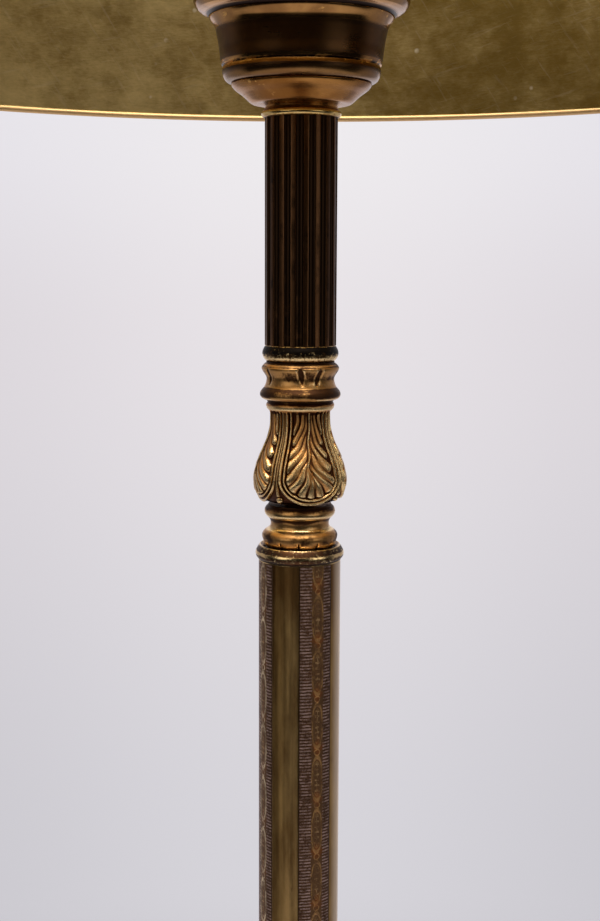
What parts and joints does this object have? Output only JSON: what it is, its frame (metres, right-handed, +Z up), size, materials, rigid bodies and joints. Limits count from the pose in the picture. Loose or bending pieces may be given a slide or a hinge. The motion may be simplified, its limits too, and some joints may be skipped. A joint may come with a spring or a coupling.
{
  "type": "candlestick floor lamp",
  "caption": "Candlestick floor lamp: weighted round base, engraved tube, acanthus knop, fluted column, cup and a wide open metal drum shade over a lamp cluster.",
  "frame": {"origin": "centre of the felt face that stands on the floor", "axes": "+Z up along the column; the front of the lamp looks toward -Y and the cord leaves toward +Y"},
  "size_m": [0.5817, 0.5818, 1.5539],
  "materials": {
    "felt": "dark green felt",
    "iron": "raw cast iron",
    "antique_brass": "antique brass, dark patina in the recesses",
    "engraved_brass": "patinated brass with four engraved bands",
    "dark_bronze": "dark bronze patina with worn edges",
    "copper_bronze": "copper-brown bronze patina",
    "shade_brass": "brushed lacquered brass sheet",
    "steel": "zinc-plated steel",
    "black_plastic": "moulded black",
    "porcelain": "unglazed porcelain",
    "lamp_cap": "rolled aluminium",
    "opal_glass": "opal white glass"
  },
  "bodies": {
    "stand": {"felt_pad": "felt", "base_weight": "iron", "base_cover": "antique_brass", "cord_bushing": "black_plastic", "clamp_washer": "steel", "rod_nuts": "steel", "tie_rod": "steel", "centre_pipe": "steel", "foot_baluster": "antique_brass", "tube_lower_collar": "antique_brass", "engraved_tube": "engraved_brass", "tube_upper_collar": "antique_brass", "knop_foot": "antique_brass", "acanthus_knop": "antique_brass", "capital": "antique_brass", "column_lower_ring": "antique_brass", "fluted_column": "dark_bronze", "column_upper_ring": "antique_brass", "cup_bell": "copper_bronze", "cup_body": "dark_bronze", "cup_cover": "dark_bronze", "cluster_body": "antique_brass", "cluster_arms": "antique_brass", "lampholder_caps": "antique_brass", "lampholder_shells": "antique_brass", "lampholder_inserts": "porcelain", "bulb_caps": "lamp_cap", "bulb_globes": "opal_glass"},
    "shade": {"shade_carrier": "antique_brass", "shade_shell": "shade_brass"},
    "finial": {"finial": "antique_brass"},
    "key_left": {"key_left": "antique_brass"},
    "key_right": {"key_right": "antique_brass"}
  },
  "joints": [
    {"name": "shade_turn", "type": "hinge", "parent": "stand", "child": "shade", "pos_m": [0, 0, 1.508], "axis": [0, 0, 1], "continuous": true},
    {"name": "finial_turn", "type": "hinge", "parent": "stand", "child": "finial", "pos_m": [0, 0, 1.52], "axis": [0, 0, 1], "continuous": true},
    {"name": "key_right_turn", "type": "hinge", "parent": "stand", "child": "key_right", "pos_m": [0.062, -0.02, 1.3331], "axis": [0, -1, 0], "continuous": true},
    {"name": "key_left_turn", "type": "hinge", "parent": "stand", "child": "key_left", "pos_m": [-0.062, 0.02, 1.3331], "axis": [0, 1, 0], "continuous": true}
  ]
}
